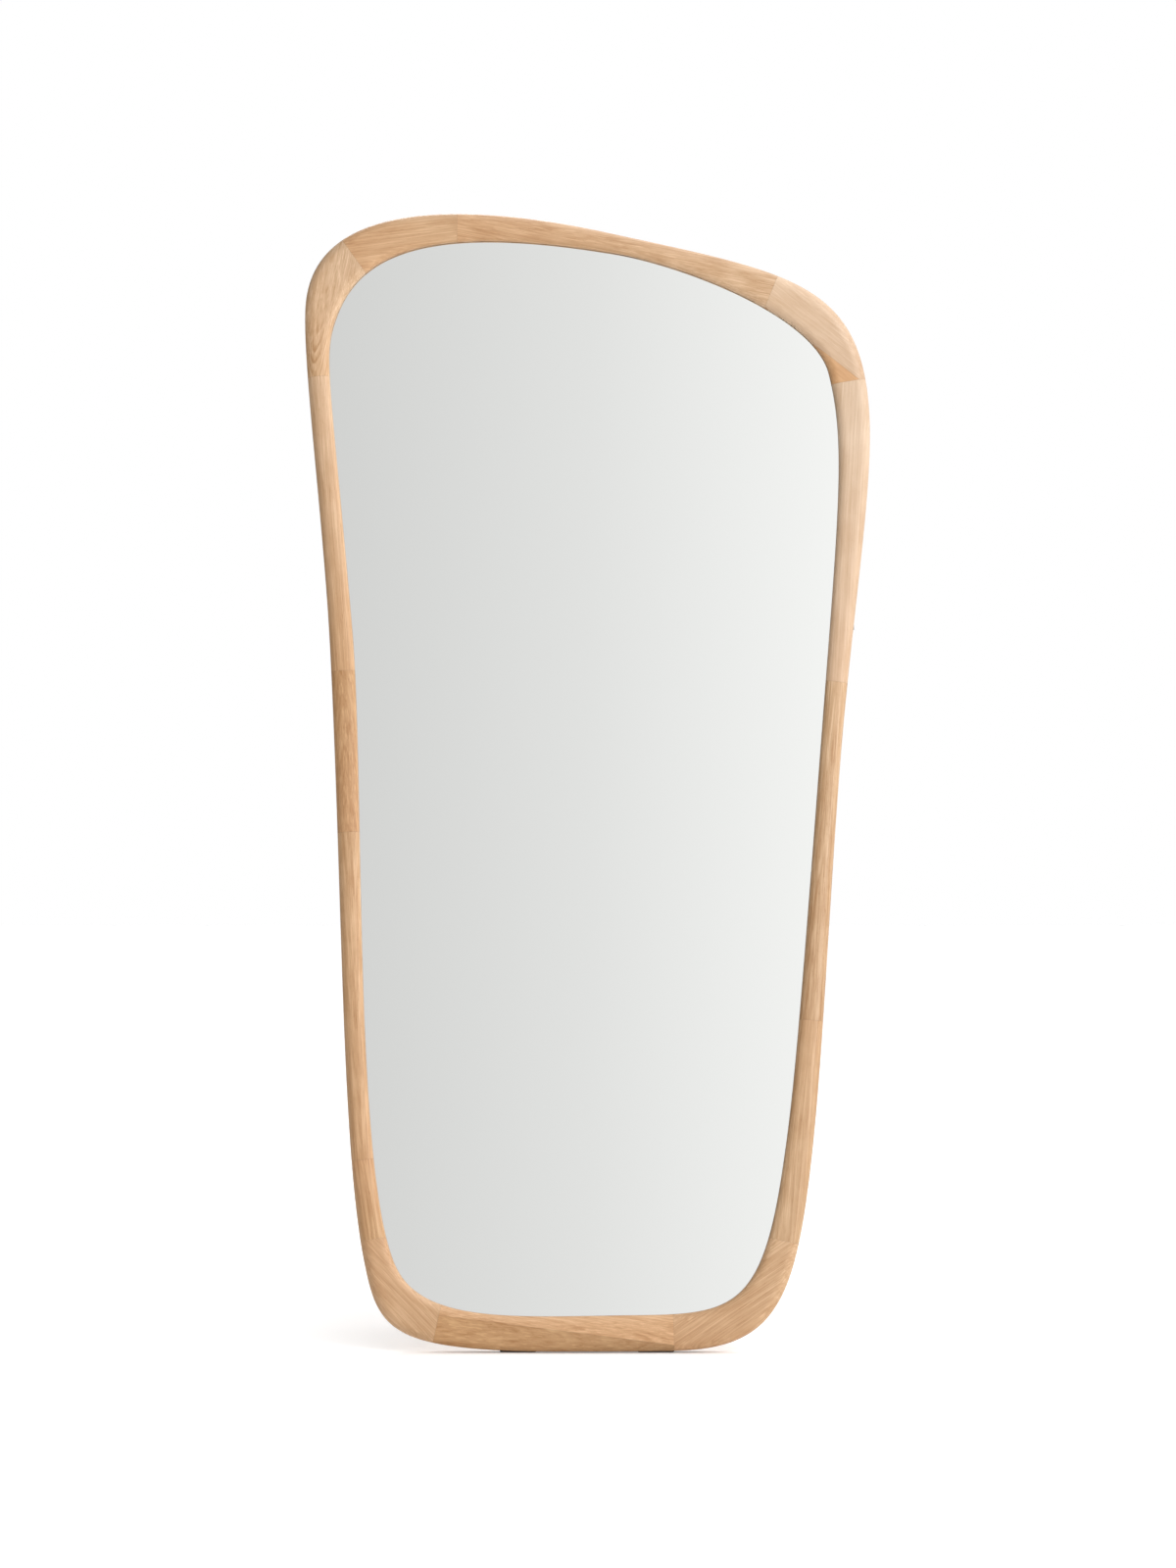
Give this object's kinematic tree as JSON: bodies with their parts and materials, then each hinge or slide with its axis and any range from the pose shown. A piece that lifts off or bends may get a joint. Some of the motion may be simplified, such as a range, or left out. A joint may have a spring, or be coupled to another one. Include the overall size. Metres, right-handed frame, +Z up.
{
  "type": "floor mirror",
  "caption": "Full-length floor mirror in a freely curved pale wood frame, leaning back on a folding tube stand.",
  "frame": {"origin": "middle of the floor area that the open mirror takes up, at floor level", "axes": "+Z up, +X to the right as seen from the front, the mirror faces -Y and leans back towards +Y"},
  "size_m": [0.7994, 0.2504, 1.5928],
  "materials": {
    "frame_wood": "satin",
    "tenon_beech": "matte",
    "mirror_glass": "polished",
    "glazing_tape": "matte",
    "packing_card": "matte",
    "backboard": "matte",
    "zinc_steel": "satin",
    "black_steel": "satin",
    "black_plastic": "matte",
    "grey_rubber": "matte"
  },
  "bodies": {
    "mirror": {"backboard": "backboard", "backboard_screw_1": "zinc_steel", "backboard_screw_2": "zinc_steel", "backboard_screw_3": "zinc_steel", "backboard_screw_4": "zinc_steel", "backboard_screw_5": "zinc_steel", "backboard_screw_6": "zinc_steel", "backboard_screw_7": "zinc_steel", "backboard_screw_8": "zinc_steel", "backboard_screw_9": "zinc_steel", "bracket_screw_left_lower": "zinc_steel", "bracket_screw_left_upper": "zinc_steel", "bracket_screw_right_lower": "zinc_steel", "bracket_screw_right_upper": "zinc_steel", "floor_pad_left": "grey_rubber", "floor_pad_right": "grey_rubber", "frame_bottom_rail": "frame_wood", "frame_corner_bottom_left": "frame_wood", "frame_corner_bottom_right": "frame_wood", "frame_corner_top_left": "frame_wood", "frame_corner_top_right": "frame_wood", "frame_left_rail_foot": "frame_wood", "frame_left_rail_lower": "frame_wood", "frame_left_rail_middle": "frame_wood", "frame_left_rail_upper": "frame_wood", "frame_right_rail_lower": "frame_wood", "frame_right_rail_middle": "frame_wood", "frame_right_rail_upper": "frame_wood", "frame_top_rail_left": "frame_wood", "frame_top_rail_right": "frame_wood", "glazing_tape": "glazing_tape", "hinge_bracket_left": "black_steel", "hinge_bracket_right": "black_steel", "mirror_glass": "mirror_glass", "packing_card": "packing_card", "pivot_bolt_left": "zinc_steel", "pivot_bolt_right": "zinc_steel", "pivot_nut_left": "zinc_steel", "pivot_nut_right": "zinc_steel", "tenon_1": "tenon_beech", "tenon_10": "tenon_beech", "tenon_11": "tenon_beech", "tenon_12": "tenon_beech", "tenon_13": "tenon_beech", "tenon_14": "tenon_beech", "tenon_2": "tenon_beech", "tenon_3": "tenon_beech", "tenon_4": "tenon_beech", "tenon_5": "tenon_beech", "tenon_6": "tenon_beech", "tenon_7": "tenon_beech", "tenon_8": "tenon_beech", "tenon_9": "tenon_beech", "wall_bumper_left": "grey_rubber", "wall_bumper_right": "grey_rubber"},
    "stand": {"stand_tube": "black_steel", "tube_plug_left": "black_plastic", "tube_plug_right": "black_plastic", "foot_sleeve_left": "grey_rubber", "foot_sleeve_right": "grey_rubber"}
  },
  "joints": [
    {"name": "stand_fold", "type": "hinge", "parent": "mirror", "child": "stand", "pos_m": [0, 0.02589, 1.04223], "axis": [-1, 0, 0], "range_deg": [0, 11]}
  ]
}
